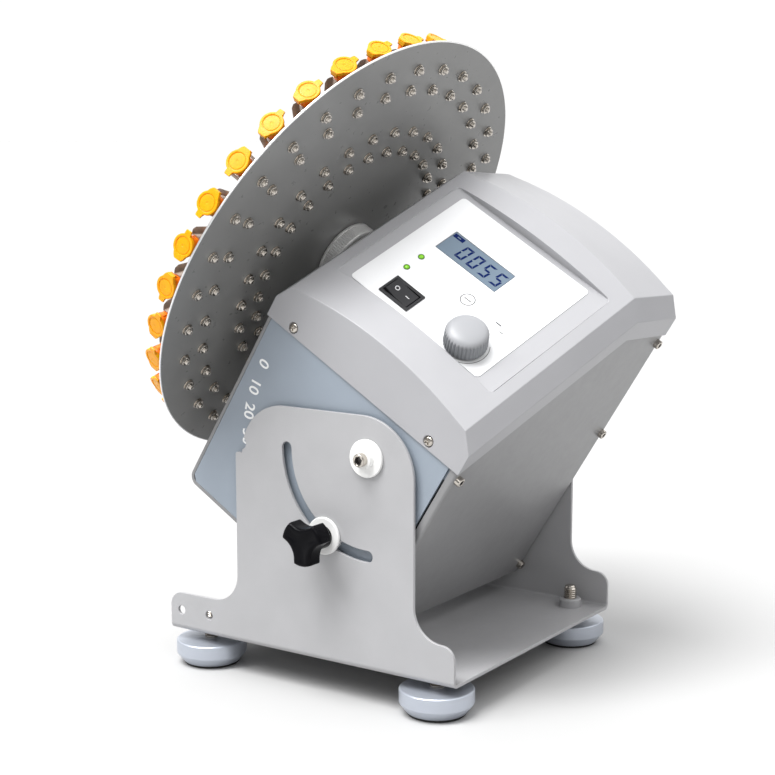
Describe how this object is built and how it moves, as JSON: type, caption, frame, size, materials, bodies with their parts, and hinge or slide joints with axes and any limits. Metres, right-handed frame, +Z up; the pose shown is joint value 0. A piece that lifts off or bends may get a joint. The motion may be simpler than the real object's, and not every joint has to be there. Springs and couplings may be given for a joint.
{
  "type": "tube rotator",
  "caption": "Benchtop rotator with a tilting motor head that spins a disc of capped tubes held in spring clips, on a bent bracket with levelling feet.",
  "frame": {"origin": "middle of the bounding box in X and Y, on the surface that the feet stand on", "axes": "+Z up, the user and the slotted side plate at -Y, the disc at -X, the head's tilt axis along Y"},
  "size_m": [0.2614, 0.28, 0.3613],
  "materials": {
    "bracket_paint": "satin light grey powder coat on bent steel",
    "head_paint": "satin blue-grey powder coat",
    "wrap_paint": "satin silver-grey paint",
    "cover_plastic": "satin light grey moulded plastic",
    "disc_paint": "grey coated aluminium with a bright edge",
    "zinc_steel": "zinc-plated steel",
    "turned_aluminium": "turned aluminium",
    "white_nylon": "white nylon",
    "black_plastic": "black moulded plastic",
    "black_rubber": "black rubber",
    "label_film": "white printed film",
    "display_glass": "blue-grey display window",
    "green_board": "green circuit board",
    "lamp_green": "green lamp lens",
    "knob_blue_grey": "blue-grey knob with a pale cap",
    "motor_steel": "dark plated motor steel",
    "spring_steel": "brown-grey spring steel",
    "tube_plastic": "yellow moulded polypropylene",
    "cover_plastic_paint": "satin light grey paint"
  },
  "bodies": {
    "base": {"base_bracket": "bracket_paint", "foot_bosses": "bracket_paint", "pivot_bushes": "white_nylon"},
    "head": {"head_wrap": "wrap_paint", "end_panel": "cover_plastic_paint", "cheek_front": "head_paint", "cheek_rear": "head_paint", "head_cover": "cover_plastic", "cover_screws": "zinc_steel", "panel_screws": "zinc_steel", "pivot_screws": "zinc_steel", "plate_spacers": "white_nylon", "pivot_anchors": "turned_aluminium", "clamp_stud": "zinc_steel", "clamp_washer": "white_nylon", "deck_label": "label_film", "display_pane": "display_glass", "display_module": "black_plastic", "switch_housing": "black_plastic", "encoder_body": "black_plastic", "control_board": "green_board", "board_parts": "black_plastic", "board_standoffs": "zinc_steel", "indicator_lamps": "lamp_green", "bearing_housing": "turned_aluminium", "shaft_bearings": "zinc_steel", "motor_standoffs": "zinc_steel", "motor_plate": "turned_aluminium", "gearbox": "motor_steel", "motor": "motor_steel", "driver_board": "green_board", "driver_parts": "black_plastic", "power_inlet": "black_plastic", "inlet_nut": "zinc_steel"},
    "rotor": {"drive_shaft": "zinc_steel", "hub_collar": "turned_aluminium", "hub_screws": "zinc_steel", "disc": "disc_paint", "disc_nut": "turned_aluminium", "shaft_coupling": "turned_aluminium", "gearbox_shaft": "zinc_steel", "clip_screws": "zinc_steel", "clip_nuts": "zinc_steel", "tube_clips_outer": "spring_steel", "tube_clips_inner": "spring_steel", "tubes_outer": "tube_plastic", "tubes_inner": "tube_plastic"},
    "clamp": {"clamp_knob": "black_plastic"},
    "rocker": {"switch_rocker": "black_plastic"},
    "encoder": {"encoder_rotor": "zinc_steel"},
    "dial": {"speed_knob": "knob_blue_grey", "encoder_shaft": "zinc_steel"},
    "foot_front_left": {"foot_front_left": "turned_aluminium", "foot_pad_front_left": "black_rubber"},
    "foot_front_right": {"foot_front_right": "turned_aluminium", "foot_pad_front_right": "black_rubber"},
    "foot_rear_left": {"foot_rear_left": "turned_aluminium", "foot_pad_rear_left": "black_rubber"},
    "foot_rear_right": {"foot_rear_right": "turned_aluminium", "foot_pad_rear_right": "black_rubber"}
  },
  "joints": [
    {"name": "head_tilt", "type": "hinge", "parent": "base", "child": "head", "pos_m": [0.03365, 0, 0.1367], "axis": [0, 1, 0], "range_deg": [-31.5, 58.5]},
    {"name": "disc_turn", "type": "hinge", "parent": "head", "child": "rotor", "pos_m": [-0.04482, 0, 0.23639], "axis": [-0.8526, 0, 0.5225], "continuous": true},
    {"name": "clamp_turn", "type": "hinge", "parent": "head", "child": "clamp", "pos_m": [0.0057, -0.102, 0.09108], "axis": [0, -1, 0], "continuous": true},
    {"name": "switch_rock", "type": "hinge", "parent": "head", "child": "rocker", "pos_m": [0.02992, -0.05076, 0.2198], "axis": [-0.2691, -0.8572, -0.4391], "range_deg": [0, 20]},
    {"name": "dial_turn", "type": "hinge", "parent": "head", "child": "encoder", "pos_m": [0.07001, -0.05074, 0.19565], "axis": [0.4479, -0.515, 0.7309], "continuous": true},
    {"name": "dial_push", "type": "slide", "parent": "encoder", "child": "dial", "axis": [-0.4479, 0.515, -0.7309], "range_m": [0, 0.0008], "stiffness_N_per_m": 4000, "springref_m": -0.0004},
    {"name": "level_front_left", "type": "hinge", "parent": "base", "child": "foot_front_left", "pos_m": [-0.08685, -0.0755, 0], "axis": [0, 0, 1], "continuous": true},
    {"name": "level_front_right", "type": "hinge", "parent": "base", "child": "foot_front_right", "pos_m": [0.06915, -0.0755, 0], "axis": [0, 0, 1], "continuous": true},
    {"name": "level_rear_left", "type": "hinge", "parent": "base", "child": "foot_rear_left", "pos_m": [-0.08685, 0.0755, 0], "axis": [0, 0, 1], "continuous": true},
    {"name": "level_rear_right", "type": "hinge", "parent": "base", "child": "foot_rear_right", "pos_m": [0.06915, 0.0755, 0], "axis": [0, 0, 1], "continuous": true}
  ]
}
